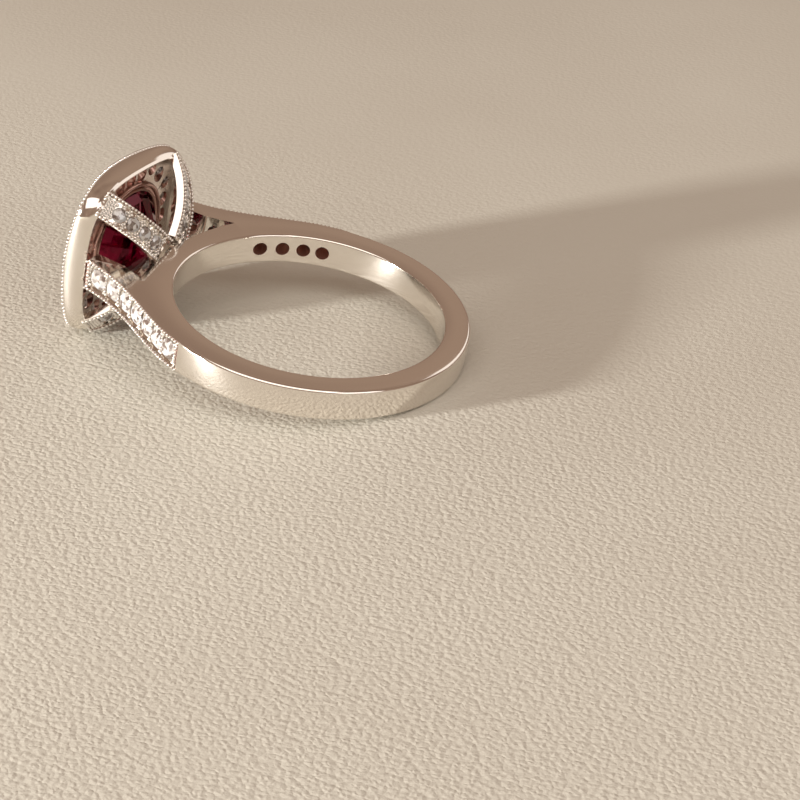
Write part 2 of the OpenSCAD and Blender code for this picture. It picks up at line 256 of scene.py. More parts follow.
def gem(name, colour, painted_dark_facet, painted_fire, facets, ior, clear, mirror, shine):
    """A faceted stone whose base colour is a pattern of cells painted as facet reflections:
    painted light, painted dark and a little painted fire. What isn't clear in it scatters this
    painted colour, in place of the many small flashes inside a cut stone. Its reflections have the
    colour mirror and the strength shine."""
    material, output, add, tree = new_material(name)
    place = add("ShaderNodeTexCoord").outputs["Object"]
    # The cells paint facet reflections into the base colour: painted dark facets, painted light
    # facets and painted fire.
    cells = add("ShaderNodeTexVoronoi", {"Vector": place, "Scale": facets})
    painted_flash = add("ShaderNodeSeparateColor", {"Color": cells.outputs["Color"]})
    tint = add("ShaderNodeValToRGB", {"Fac": painted_flash.outputs["Red"]})
    tint.color_ramp.elements[0].position = 0.2
    tint.color_ramp.elements[0].color = (*painted_dark_facet, 1)
    tint.color_ramp.elements[1].position = 0.55
    tint.color_ramp.elements[1].color = (*colour, 1)
    tint.color_ramp.elements.new(0.95).color = (*painted_fire, 1)
    shader = add(
        "ShaderNodeBsdfPrincipled",
        {
            "Base Color": tint.outputs["Color"],
            "Roughness": 0.01,
            "IOR": ior,
            "Transmission Weight": clear,
            "Specular Tint": (*mirror, 1),
            "Specular IOR Level": shine,
        },
    )
    tree.links.new(shader.outputs["BSDF"], output.inputs["Surface"])
    return material


METAL = white_metal("polished_white_metal", (0.87, 0.825, 0.77), (0.06, 0.13), scratch=0.04)
SETTING = white_metal("pave_white_metal", (0.94, 0.92, 0.89), (0.16, 0.3), scratch=0.15)
PLATE = white_metal("cream_white_metal", (0.93, 0.85, 0.8), (0.2, 0.34), scratch=0.2)
# Painted red light from the ruby and painted shade: white gold made reddish brown and darker, for
# the collet and the pockets behind the halo diamonds.
RUBY_LIGHT_SHADE = white_metal("white_metal_painted_ruby_light_and_shade", (0.52, 0.33, 0.29), (0.16, 0.3), scratch=0.2)
# Painted shade: the ridge tops under the milgrain beads are darkened so that the gaps between the
# beads look shaded.
PAINTED_SHADE_GROOVE = white_metal("painted_shade_between_beads", (0.3, 0.2, 0.165), (0.35, 0.5), scratch=0.3)
# Painted shade: reddish brown, darker white gold on the walls of the holes behind the shoulder
# diamonds, where little light gets in.
PAINTED_SHADE_HOLE = white_metal("painted_shade_in_seat_holes", (0.8, 0.5, 0.41), (0.4, 0.55), scratch=0.3)
# Both stones' facet colours below are painted reflections and painted fire; the ruby's deep red is
# its own colour.
DIAMOND = gem(
    "clear_diamond",
    colour=(1.0, 0.98, 0.95),
    painted_dark_facet=(0.24, 0.18, 0.155),
    painted_fire=(0.88, 0.93, 1.0),
    facets=4000.0,
    ior=2.417,
    clear=0.4,
    mirror=(1.0, 1.0, 1.0),
    shine=0.5,
)
RUBY = gem(
    "deep_ruby",
    colour=(0.12, 0.0, 0.011),
    painted_dark_facet=(0.04, 0.0, 0.004),
    painted_fire=(0.2, 0.0, 0.028),
    facets=300.0,
    ior=1.768,
    clear=1.0,
    mirror=(1.0, 0.1, 0.22),
    shine=0.14,
)


# ---------------------------------------------------------------- geometry


def dome_height(radius, v, w):
    """Height of a dome of this radius at (v, w). All the head's domes share one centre."""
    return DOME_CENTRE + math.sqrt(radius**2 - v**2 - w**2)


def outline(half, power, count):
    """Evenly turned points (v, w) of a cushion outline with these half widths."""
    points = []
    for k in range(count):
        c, s = math.cos(2 * math.pi * k / count), math.sin(2 * math.pi * k / count)
        reach = (abs(c / half[0]) ** power + abs(s / half[1]) ** power) ** (-1 / power)
        points.append((reach * c, reach * s))
    return points


def piece(name, bm, material, smooth=math.radians(40)):
    """Turns a bmesh drawn in the ring's frame into a metal piece of the ring. Edges sharper
    than smooth stay sharp."""
    bmesh.ops.recalc_face_normals(bm, faces=bm.faces)
    mesh = bpy.data.meshes.new(name)
    bm.to_mesh(mesh)
    bm.free()
    mesh.transform(RING)
    mesh.materials.append(material)
    obj = bpy.data.objects.new(name, mesh)
    bpy.context.scene.collection.objects.link(obj)
    mesh.shade_smooth()
    if smooth is not None:
        mesh.set_sharp_from_angle(angle=smooth)
    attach(obj, "root")
    return obj


def loft(bm, rings, closed=False):
    """Joins rings of points with quads. A loft that isn't closed gets a cap at each end."""
    rows = [[bm.verts.new(p) for p in ring] for ring in rings]
    count = len(rings)
    for i in range(count if closed else count - 1):
        here, there = rows[i], rows[(i + 1) % count]
        for k in range(len(here)):
            nxt = (k + 1) % len(here)
            bm.faces.new((here[k], here[nxt], there[nxt], there[k]))
    if not closed:
        bm.faces.new(rows[0])
        bm.faces.new(rows[-1])


def sweep(bm, half, power, profile, count=200):
    """Runs a closed profile round a cushion outline. Each of its points is (inset, height) or
    (inset, height, squareness). A height that is a function is worked out from the point
    across the head."""
    rings = []
    for inset, height, *own_power in profile:
        ring = []
        for v, w in outline((half[0] - inset, half[1] - inset), *(own_power or [power]), count):
            ring.append((height(v, w) if callable(height) else height, v, w))
        rings.append(ring)
    loft(bm, rings, closed=True)


def lathe(bm, profile, place, outward, count=40):
    """A solid of revolution. The profile's (radius, height) points run along outward."""
    turn = Matrix.Translation(place) @ Vector(outward).to_track_quat("Z", "Y").to_matrix().to_4x4()
    angles = [2 * math.pi * k / count for k in range(count)]
    rings = []
    for radius, height in profile:
        ring = [Vector((radius * math.cos(a), radius * math.sin(a), height)) for a in angles]
        rings.append([turn @ point for point in ring])
    loft(bm, rings)


def cut(bm, cutter):
    """The shape in bm less the shape in cutter, as a new bmesh."""
    solids = []
    for shape in (bm, cutter):
        bmesh.ops.recalc_face_normals(shape, faces=shape.faces)
        mesh = bpy.data.meshes.new("cut")
        shape.to_mesh(mesh)
        shape.free()
        solids.append(bpy.data.objects.new("cut", mesh))
        bpy.context.scene.collection.objects.link(solids[-1])
    tool = solids[0].modifiers.new("cut", "BOOLEAN")
    tool.operation = "DIFFERENCE"
    tool.solver = "MANIFOLD"
    tool.object = solids[1]
    bpy.context.view_layer.update()
    result = solids[0].evaluated_get(bpy.context.evaluated_depsgraph_get())
    found = bmesh.new()
    found.from_mesh(result.to_mesh())
    result.to_mesh_clear()
    for solid in solids:
        mesh = solid.data
        bpy.data.objects.remove(solid)
        bpy.data.meshes.remove(mesh)
    return found


def seat_cutter(bm, diameter, hole, depth, place, outward, flared=False):
    """The pocket, cone and open back that hold one brilliant. A flared back widens behind it."""
    r = diameter / 2
    cone = PAVILION * r - (PAVILION * r - GIRDLE * r) * hole / diameter
    profile = [(hole / 2, -cone), (r, -GIRDLE * r), (r, SEAT_TOP)]
    if flared:
        widest = -POCKET_RISE - POCKET_FLARE
        profile = [(r, -depth), (r, widest), (hole / 2, -POCKET_RISE)] + profile
    else:
        profile = [(hole / 2, -depth)] + profile
    lathe(bm, profile, place, outward)


def paint(obj, material, chosen, flat=None):
    """Gives a material to the faces whose corners, in the ring's frame, are all chosen. Those
    that face along the direction flat keep theirs."""
    obj.data.materials.append(material)
    to_ring = RING.inverted()
    corners = [chosen(to_ring @ vertex.co) for vertex in obj.data.vertices]
    for face in obj.data.polygons:
        if flat and abs(face.normal.dot(flat)) > 0.99:
            continue
        if all(corners[i] for i in face.vertices):
            face.material_index = len(obj.data.materials) - 1


def in_hollow(seats, diameter, top):
    """Tells whether a point is on the wall of the hole behind one of the stones, more than top
    below it."""
    just_past_wall = 0.52 * diameter

    def chosen(point):
        for place, outward in seats:
            rise = (point - place).dot(outward)
            off_axis = (point - place - rise * outward).length
            if -SEAT_DEPTH < rise < -top and off_axis < just_past_wall:
                return True
        return False

    return chosen


def beads(name, places, radius):
    """A row of small metal beads, each given as (point, outward direction)."""
    bm = bmesh.new()
    for point, outward in places:
        size = radius * random.uniform(0.93, 1.07)
        turn = Vector(outward).to_track_quat("Z", "Y").to_matrix().to_4x4()
        bmesh.ops.create_icosphere(
            bm,
            subdivisions=2,
            radius=size,
            matrix=Matrix.Translation(point) @ turn,
        )
    piece(name, bm, SETTING, smooth=None)


def spaced(points, pitch):
    """Evenly spaced places along a line of points, from its first to its last, about this
    pitch apart."""
    points = [Vector(p) for p in points]
    runs = [0.0]
    for a, b in zip(points, points[1:]):
        runs.append(runs[-1] + (b - a).length)
    count = max(1, round(runs[-1] / pitch))
    found, k = [], 0
    for i in range(count + 1):
        goal = runs[-1] * i / count
        while k < len(runs) - 2 and runs[k + 1] < goal:
            k += 1
        share = (goal - runs[k]) / max(1e-9, runs[k + 1] - runs[k])
        found.append(points[k].lerp(points[k + 1], share))
    return found


# The shoulder's curve in the u, v plane: a cubic from the band's outer circle to the frame.
STRIP_R = OUTER_R + MILGRAIN_RISE
CURVE_START = Vector(
    (BAND_SHIFT + STRIP_R * math.cos(STRIP_ANGLE), STRIP_R * math.sin(STRIP_ANGLE))
)
CURVE_END = Vector((FRAME_LOW, HEAD[0] + 0.04))
END_ANGLE = math.radians(6)
START_PULL = 3 * Vector((math.sin(STRIP_ANGLE), -math.cos(STRIP_ANGLE)))
END_PULL = 3.44 * Vector((math.cos(END_ANGLE), -math.sin(END_ANGLE)))
START_TURN = math.atan2(CURVE_START.y, CURVE_START.x)
END_TURN = math.atan2(CURVE_END.y, CURVE_END.x)


def shoulder_point(t):
    """A point (u, v) of the near shoulder's curve: on the band at t = 0, the frame at t = 1."""
    return (
        (1 - t) ** 3 * CURVE_START
        + 3 * (1 - t) ** 2 * t * (CURVE_START + START_PULL)
        + 3 * (1 - t) * t**2 * (CURVE_END - END_PULL)
        + t**3 * CURVE_END
    )


def shoulder_normal(t):
    """The direction (u, v) out of the near shoulder."""
    slope = (shoulder_point(t + 0.001) - shoulder_point(t - 0.001)).normalized()
    return Vector((-slope.y, slope.x))


def on_shoulder(t, rise, w, side):
    """A point over the near or far shoulder, rise above its milgrain edge."""
    p = shoulder_point(t) + rise * shoulder_normal(t)
    return Vector((p.x, p.y if side == "near" else -p.y, w))


def shoulder_out(t, side):
    """The direction out of the near or far shoulder."""
    n = shoulder_normal(t)
    return Vector((n.x, n.y if side == "near" else -n.y, 0))


# ---------------------------------------------------------------- pieces


def finish_nodes():
    """Gives the CAD nodes their materials. The metal ones are shaded round, the stones flat."""
    for node, obj in frame["nodes"].items():
        kind = RUBY if node == "ruby" else DIAMOND if "diamond" in node else METAL
        obj.data.materials.clear()
        obj.data.materials.append(kind)
        if kind is METAL:
            obj.data.shade_smooth()
            obj.data.set_sharp_from_angle(angle=math.radians(35))
            weighted = obj.modifiers.new("weighted", "WEIGHTED_NORMAL")
            weighted.keep_sharp = True
        else:
            obj.data.shade_flat()


def smooth_step(x):
    """Goes from 0 to 1 as x does, level at both ends."""
    x = min(1.0, max(0.0, x))
    return x * x * (3 - 2 * x)


def strip_step(t):
    """How far the shoulder's milgrain edge is still below its full height."""
    return MILGRAIN_RISE * (1 - smooth_step(t / STRIP_BLEND))


def band_reach(angle):
    """Distance from the finger's centre to the outside of the shank, and its edge's rounding."""
    if angle >= START_TURN:
        across = BAND_SHIFT * math.sin(angle)
        reach = BAND_SHIFT * math.cos(angle) + math.sqrt(OUTER_R**2 - across**2)
        rounder = smooth_step((angle - START_TURN) / EDGE_BLEND)
        return reach, SHOULDER_EDGE + (BAND_EDGE - SHOULDER_EDGE) * rounder
    if angle <= END_TURN:
        return FRAME_LOW / math.cos(angle), SHOULDER_EDGE
    low, high = 0.0, 1.0
    for _ in range(40):
        t = (low + high) / 2
        p = shoulder_point(t)
        low, high = (t, high) if math.atan2(p.y, p.x) > angle else (low, t)
    return shoulder_point(t).length - strip_step(t), SHOULDER_EDGE


def shank_section(reach, edge):
    """Points (distance, w) round the shank's section, with rounded edges."""
    points = []
    turns = [math.radians(22.5 * k) for k in range(5)]
    for corner_r, corner_w, r, first in (
        (reach - edge, HALF_W - edge, edge, 0),
        (BORE_R + BORE_EDGE, HALF_W - BORE_EDGE, BORE_EDGE, 90),
        (BORE_R + BORE_EDGE, BORE_EDGE - HALF_W, BORE_EDGE, 180),
        (reach - edge, edge - HALF_W, edge, 270),
    ):
        for turn in turns:
            a = math.radians(first) + turn
            points.append((corner_r + r * math.cos(a), corner_w + r * math.sin(a)))
    return points


def prism(bm, points, half):
    """A straight prism over points (u, v), to this distance either side of the middle."""
    loft(bm, [[(u, v, w) for u, v in points] for w in (-half, half)])


def stone_places():
    """How far along the shoulder's curve its strip ends and its diamonds lie."""
    steps = 28
    runs = [0.0]
    for i in range(steps):
        runs.append(runs[-1] + (shoulder_point((i + 1) / steps) - shoulder_point(i / steps)).length)
    places = []
    for i in range(2 * SHOULDER_STONES + 1):
        goal = STRIP_MARGIN + (runs[-1] - 2 * STRIP_MARGIN) * i / (2 * SHOULDER_STONES)
        k = max(n for n in range(steps) if runs[n] <= goal)
        places.append((k + (goal - runs[k]) / (runs[k + 1] - runs[k])) / steps)
    return places


def gallery_window():
    """The outline (u, v) of the window between the shoulders. Its floor is an arc."""
    rail = CURVE_END.y - RAIL_T
    tip = Vector((BRIDGE_R - WINDOW_FALL, rail + WINDOW_FLARE))
    bend = (BRIDGE_R + WINDOW_BEND[0], rail + WINDOW_BEND[1])
    edge = [tuple(tip), bend, (FRAME_LOW + OVERCUT, rail)]
    window = edge + [(u, -v) for u, v in reversed(edge)]
    floor_r = (tip.y**2 + WINDOW_FALL**2) / (2 * WINDOW_FALL)
    half_turn = math.asin(tip.y / floor_r)
    steps = 40
    for i in range(1, steps):
        a = half_turn * (2 * i / steps - 1)
        window.append((BRIDGE_R - floor_r + floor_r * math.cos(a), floor_r * math.sin(a)))
    return window


def pave_channel(side, first, last):
    """The outline (u, v) of the channel along a shoulder, open at the top."""
    steps = [first + (last - first) * i / 40 for i in range(41)]
    floor = [on_shoulder(t, -CHANNEL_FLOOR, 0, side).xy for t in steps]
    top = [on_shoulder(t, CHANNEL_TOP, 0, side).xy for t in reversed(steps)]
    return [tuple(p) for p in floor + top]


def on_band_ridge(point):
    """Tells whether a point is on top of the ridges that carry the shoulders' milgrain."""
    angle = abs(math.atan2(point.y, point.x))
    if not END_TURN - 0.01 < angle < START_TURN + 0.01:
        return False
    on_edge = HALF_W - MILGRAIN_W - 0.01 < abs(point.z) < HALF_W - 0.5 * SHOULDER_EDGE
    return on_edge and math.hypot(point.x, point.y) > band_reach(angle)[0] - 0.03


def shank():
    """The band with its shoulders, gallery window, pave channels and seats."""
    half_turn = sorted([math.radians(a) for a in range(1, 180)] + [END_TURN, START_TURN])
    rings = []
    for angle in [0.0] + half_turn + [math.pi] + [-a for a in reversed(half_turn)]:
        c, s = math.cos(angle), math.sin(angle)
        rings.append([(r * c, r * s, w) for r, w in shank_section(*band_reach(abs(angle)))])
    body = bmesh.new()
    loft(body, rings, closed=True)
    cutter = bmesh.new()
    prism(cutter, gallery_window(), HALF_W + OVERCUT)
    body = cut(body, cutter)

    seats = []
    places = stone_places()
    for side in SIDES:
        channel = bmesh.new()
        prism(channel, pave_channel(side, places[0], places[-1]), HALF_W - MILGRAIN_W)
        body = cut(body, channel)
        for t in places[1::2]:
            seats.append((on_shoulder(t, -CHANNEL_DEPTH, 0, side), shoulder_out(t, side)))
    for place, outward in seats:
        seat = bmesh.new()
        seat_cutter(seat, SHOULDER_STONE_D, AZURE_D, SEAT_DEPTH, place, outward)
        body = cut(body, seat)
    band = piece("band", body, METAL, smooth=math.radians(28))
    # Painted shade on the walls of the seat holes behind the shoulder diamonds.
    paint(band, PAINTED_SHADE_HOLE, in_hollow(seats, AZURE_D, 0.2))
    # Painted shade on the ridge tops between the shoulders' milgrain beads.
    paint(band, PAINTED_SHADE_GROOVE, on_band_ridge)
    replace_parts(band, "shank")


def strip_edge(t, w, side):
    """A bead's place on the strip's edge, which starts flush with the band."""
    return on_shoulder(t, BEAD_RISE - strip_step(t), w, side)


def shoulder_milgrain(side):
    """Beads along both edges and both ends of a shoulder's pave strip."""
    places = []
    for edge in (-1, 1):
        w = edge * (HALF_W - MILGRAIN_W / 2)
        line = spaced([strip_edge(i / 60, w, side) for i in range(61)], BEAD_PITCH)
        places += [(p, Vector((0, 1, 0))) for p in line]
    reach = HALF_W - 1.5 * MILGRAIN_W
    for t in STRIP_ENDS:
        ends = [strip_edge(t, -reach, side), strip_edge(t, reach, side)]
        places += [(p, Vector((0, 1, 0))) for p in spaced(ends, BEAD_PITCH)]
    beads(f"milgrain_shoulder_{side}", places, BEAD_R)


def shoulder_grains(side):
    """The grains that hold the shoulder's diamonds, raised from the channel between them."""
    places = []
    for t in stone_places()[::2]:
        outward = shoulder_out(t, side)
        for across, along in SHOULDER_GRAINS:
            shift = Vector((outward.y, -outward.x, 0)) * (along if side == "near" else -along)
            for edge in (-1, 1):
                spot = on_shoulder(t, GRAIN_LIFT - CHANNEL_DEPTH, edge * across, side)
                places.append((spot + shift, outward))
    beads(f"grains_shoulder_{side}", places, GRAIN_R)


def head_frame():
    """The frame: a softly bulging wall, a polished bevel under it and a milgrain front edge."""

    def front(drop):
        """The domed front edge, less a drop."""
        return lambda v, w: dome_height(DOME_R, v, w) - drop

    def back(rise):
        """The back edge, which arches forward between the struts."""

        def height(v, w):
            from_middle = min(abs(v) / HEAD[0], abs(w) / HEAD[1]) / ARCH_SPAN
            return FRAME_LOW + ARCH * (1 - from_middle**2) + rise

        return height

    def wall(share):
        """A share of the way from the bevel to the front edge."""
        low, high = back(BEVEL_H), front(0.1)
        return lambda v, w: (1 - share) * low(v, w) + share * high(v, w)

    def inset(share):
        """How far the bulging wall stands in there."""
        return WALL_INSET[0] * (1 - share) ** 2 + WALL_INSET[1] * share**2

    # From the inside over the back edge and its bevel, up the wall, and over the front edge.
    square = HEAD_POWER - SOFTER_BACK
    profile = [
        (FRAME_T, back(0.4)),
        (BEVEL_W + 0.24, back(0.03), square),
        (BEVEL_W + 0.22, back(0), square),
        (BEVEL_W + 0.18, back(0.01), square),
        (0.5 * BEVEL_W + 0.2, back(0.5 * BEVEL_H - 0.01), square),
        (0.21, back(BEVEL_H - 0.02), square),
        (inset(0), back(BEVEL_H), square),
    ]
    for share in (0.12, 0.3, 0.5, 0.7, 0.88):
        profile.append((inset(share), wall(share), square + SOFTER_BACK * share**0.5))
    profile += [
        (0.06, front(0.08)),
        (0.09, front(0.05)),
        (0.14, front(0.05)),
        (FRAME_T - 0.05, front(0.03)),
        (FRAME_T, front(0.08)),
    ]
    bm = bmesh.new()
    sweep(bm, HEAD, HEAD_POWER, profile)
    frame_piece = piece("frame", bm, METAL, smooth=math.radians(24))
    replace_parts(frame_piece, "head_frame")

    edge = [
        (dome_height(DOME_R, v, w) - 0.02, v, w)
        for v, w in outline((HEAD[0] - 0.09, HEAD[1] - 0.09), HEAD_POWER, 400)
    ]
    line = spaced(edge + edge[:1], BEAD_PITCH)[:-1]
    beads("milgrain_frame", [(p, Vector((1, 0, 0))) for p in line], 1.15 * BEAD_R)


def halo_places():
    """Where the halo's diamonds lie across the head, in order round it, and their diameters."""
    inner = (HEAD[0] - FRAME_T, HEAD[1] - FRAME_T)
    line = [(half + RUBY_HALF + COLLET_T) / 2 for half in inner]
    places = []
    for k in range(4):
        c, s = round(math.cos(math.pi * k / 2)), round(math.sin(math.pi * k / 2))
        for i in range(HALO_STONES):
            along = (i - (HALO_STONES - 1) / 2) * HALO_PITCH
            place = Vector((line[0] * c - along * s, line[1] * s + along * c))
            places.append((place, HALO_STONE_D))
    corner = [
        (a + b) / 2
        for a, b in zip(outline(inner, HEAD_POWER, 8)[1], outline(COLLET_HALF, COLLET_POWER, 8)[1])
    ]
    for v in (-1, 1):
        for w in (-1, 1):
            places.append((Vector((v * corner[0], w * corner[1])), CORNER_STONE_D))
    return sorted(places, key=lambda stone: math.atan2(stone[0].y, stone[0].x))


def on_plate(v, w):
    """A point on the halo plate's domed front, and the direction that it faces."""
    height = dome_height(PLATE_DOME_R, v, w)
    return Vector((height, v, w)), Vector((height - DOME_CENTRE, v, w)).normalized()


def halo_plate():
    """The domed plate that holds the halo, with a flared pocket behind each diamond."""
    rim = outline((HEAD[0] - FRAME_T, HEAD[1] - FRAME_T), HEAD_POWER, 200)
    bore = outline(COLLET_HALF, COLLET_POWER, 200)
    low = dome_height(PLATE_DOME_R, (rim[0][0] + bore[0][0]) / 2, 0) - PLATE_T
    rings = [[(low, v, w) for v, w in rim]]
    for i in range(9):
        line = [Vector(a).lerp(Vector(b), i / 8) for a, b in zip(rim, bore)]
        rings.append([on_plate(*p)[0] for p in line])
    rings.append([(low, v, w) for v, w in bore])
    body = bmesh.new()
    loft(body, rings, closed=True)
    seats = []
    for across, diameter in halo_places():
        place, outward = on_plate(*across)
        seats.append((place, outward))
        seat = bmesh.new()
        hole = HALO_HOLE * diameter
        seat_cutter(seat, diameter, hole, HALO_SEAT_DEPTH, place, outward, flared=True)
        body = cut(body, seat)
    plate = piece("halo", body, PLATE, smooth=math.radians(35))
    # Painted red light and painted shade inside the pockets behind the halo diamonds.
    paint(plate, RUBY_LIGHT_SHADE, in_hollow(seats, CORNER_STONE_D, 0.3), flat=ALONG_U)
    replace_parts(plate, "halo_plate")


def halo_grains():
    """Two pairs of grains between each two of the halo's diamonds, raised from the plate."""
    places = []
    stones = [place for place, _ in halo_places()]
    for here, there in zip(stones, stones[1:] + stones[:1]):
        along = (there - here).normalized()
        across = Vector((-along.y, along.x))
        for reach in HALO_GRAINS:
            places.append(on_plate(*((here + there) / 2 + reach * across)))
    beads("grains_halo", places, GRAIN_R)


def collet():
    """The collar round the ruby, turned with two rounded rings on its back."""
    low, high = COLLET_BACK, COLLET_FRONT
    hole = COLLET_T + COLLET_LIP
    groove = COLLET_T - 0.02
    # Down the outer wall, over the outer ring and the inner one, and up through the hole, where
    # a groove holds the ruby's girdle.
    profile = [
        (0.0, high - 0.08),
        (0.0, low + 0.16),
        (0.04, low + 0.06),
        (0.12, low),
        (0.22, low),
        (0.29, low + 0.06),
        (0.31, low + 0.16),
        (0.36, low + 0.17),
        (0.39, low + 0.07),
        (0.46, low + 0.03),
        (0.56, low + 0.05),
        (0.63, low + 0.12),
        (hole, low + 0.2),
        (hole, GIRDLE_AT - 0.38),
        (groove, GIRDLE_AT - 0.38),
        (groove, GIRDLE_AT + 0.36),
        (hole, GIRDLE_AT + 0.36),
        (hole, high - 0.05),
        (hole - 0.06, high),
        (0.08, high),
    ]
    bm = bmesh.new()
    sweep(bm, COLLET_HALF, COLLET_POWER, profile)
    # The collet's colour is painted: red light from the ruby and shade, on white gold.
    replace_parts(piece("collet", bm, RUBY_LIGHT_SHADE), "ruby_collet")
    inner = [half - 0.1 for half in COLLET_HALF]
    edge = [(high, v, w) for v, w in outline(inner, COLLET_POWER, 240)]
    line = spaced(edge + edge[:1], BEAD_PITCH)[:-1]
    beads("milgrain_collet", [(p, Vector((1, 0, 0))) for p in line], BEAD_R)


def strut_frame(k, angle):
    """A point of strut k's outer arc, its outward direction and the direction across it."""
    turn = math.radians(45 + 90 * k)
    centre = STRUT_CENTRE + STRUT_R * Vector((math.cos(angle), math.sin(angle)))
    place = Vector((centre.x, centre.y * math.cos(turn), centre.y * math.sin(turn)))
    outward = Vector(
        (math.cos(angle), math.sin(angle) * math.cos(turn), math.sin(angle) * math.sin(turn))
    )
    return place, outward, Vector((0, -math.sin(turn), math.cos(turn)))


def along_strut(k):
    """The frames of strut k at even steps from its foot to its top."""
    turns = [STRUT_LOW + (STRUT_HIGH - STRUT_LOW) * i / STRUT_STEPS for i in range(STRUT_STEPS + 1)]
    return [strut_frame(k, angle) for angle in turns]


def strut(k):
    """A bowed ribbon with a channel between raised edges, and its diamonds' seats."""
    half = STRUT_W / 2
    across = strut_frame(k, STRUT_MID)[2]
    # One edge, from the back round to the channel, as (rise, distance across the ribbon).
    edge = [
        (-STRUT_T, -half + 0.07),
        (-STRUT_T + 0.07, -half),
        (-0.05, -half),
        (0, -half + 0.05),
        (0, -half + STRUT_RIDGE - 0.03),
        (-0.03, -half + STRUT_RIDGE),
        (-STRUT_CHANNEL, -half + STRUT_RIDGE + 0.02),
    ]
    section = edge + [(rise, -aside) for rise, aside in reversed(edge)]
    rings = []
    for place, outward, _ in along_strut(k):
        rings.append([place + rise * outward + aside * across for rise, aside in section])
    bm = bmesh.new()
    loft(bm, rings)
    seats = bmesh.new()
    for angle in STRUT_TURNS:
        place, outward, _ = strut_frame(k, angle)
        girdle = place - CHANNEL_DEPTH * outward
        seat_cutter(seats, STRUT_STONE_D, STRUT_HOLE_D, STRUT_SEAT_DEPTH, girdle, outward)
    ribbon = piece(f"ribbon_{CORNERS[k]}", cut(bm, seats), METAL, smooth=math.radians(30))

    def on_ridge(point):
        """Tells whether a point is on top of the raised edges."""
        reach = math.hypot(point.x - STRUT_CENTRE.x, math.hypot(point.y, point.z) - STRUT_CENTRE.y)
        on_edge = half - STRUT_RIDGE - 0.01 < abs(point.dot(across)) < half - 0.03
        return on_edge and reach > STRUT_R - 0.04

    # Painted shade on the ridge tops between the strut's milgrain beads.
    paint(ribbon, PAINTED_SHADE_GROOVE, on_ridge)
    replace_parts(ribbon, f"strut_{CORNERS[k]}")


def strut_grains(k):
    """A strut's milgrain edges, the grains that hold its diamonds, and the field of grains
    between them and the frame."""
    half = STRUT_W / 2
    places = []
    for edge in (-1, 1):
        line = []
        for place, outward, across in along_strut(k):
            line.append(place + BEAD_RISE * outward + edge * (half - STRUT_RIDGE / 2) * across)
        places += [(p, Vector((1, 0, 0))) for p in spaced(line, BEAD_PITCH)]
    place, outward, across = strut_frame(k, STRUT_HIGH)
    ends = [place + edge * (half - 1.5 * STRUT_RIDGE) * across for edge in (-1, 1)]
    places += [(p, outward) for p in spaced(ends, BEAD_PITCH)]

    step = STRUT_TURNS[1] - STRUT_TURNS[0]
    for i in range(STRUT_STONES + 1):
        place, outward, across = strut_frame(k, STRUT_TURNS[0] + (i - 0.5) * step)
        shift = outward.cross(across)
        for aside, along in STRUT_GRAINS:
            for edge in (-1, 1):
                spot = place + edge * aside * across + along * shift
                places.append((spot - (STRUT_CHANNEL - STRUT_GRAIN_LIFT) * outward, outward))

    first = STRUT_TURNS[0] - 0.5 * step
    for row in range(1, int((first - STRUT_HIGH) * STRUT_R / GRAIN_PITCH) + 1):
        place, outward, across = strut_frame(k, first - row * GRAIN_PITCH / STRUT_R)
        count = 7 - row % 2
        for i in range(count):
            aside = (i - (count - 1) / 2) * GRAIN_PITCH
            spot = place + aside * across
            places.append((spot - (STRUT_CHANNEL - FIELD_GRAIN_LIFT) * outward, outward))
    beads(f"grains_{CORNERS[k]}", places, GRAIN_R)


finish_nodes()
shank()
for side in SIDES:
    shoulder_milgrain(side)
    shoulder_grains(side)
head_frame()
halo_plate()
halo_grains()
collet()
for corner in range(4):
    strut(corner)
    strut_grains(corner)

# ---------------------------------------------------------------- stage, light and camera


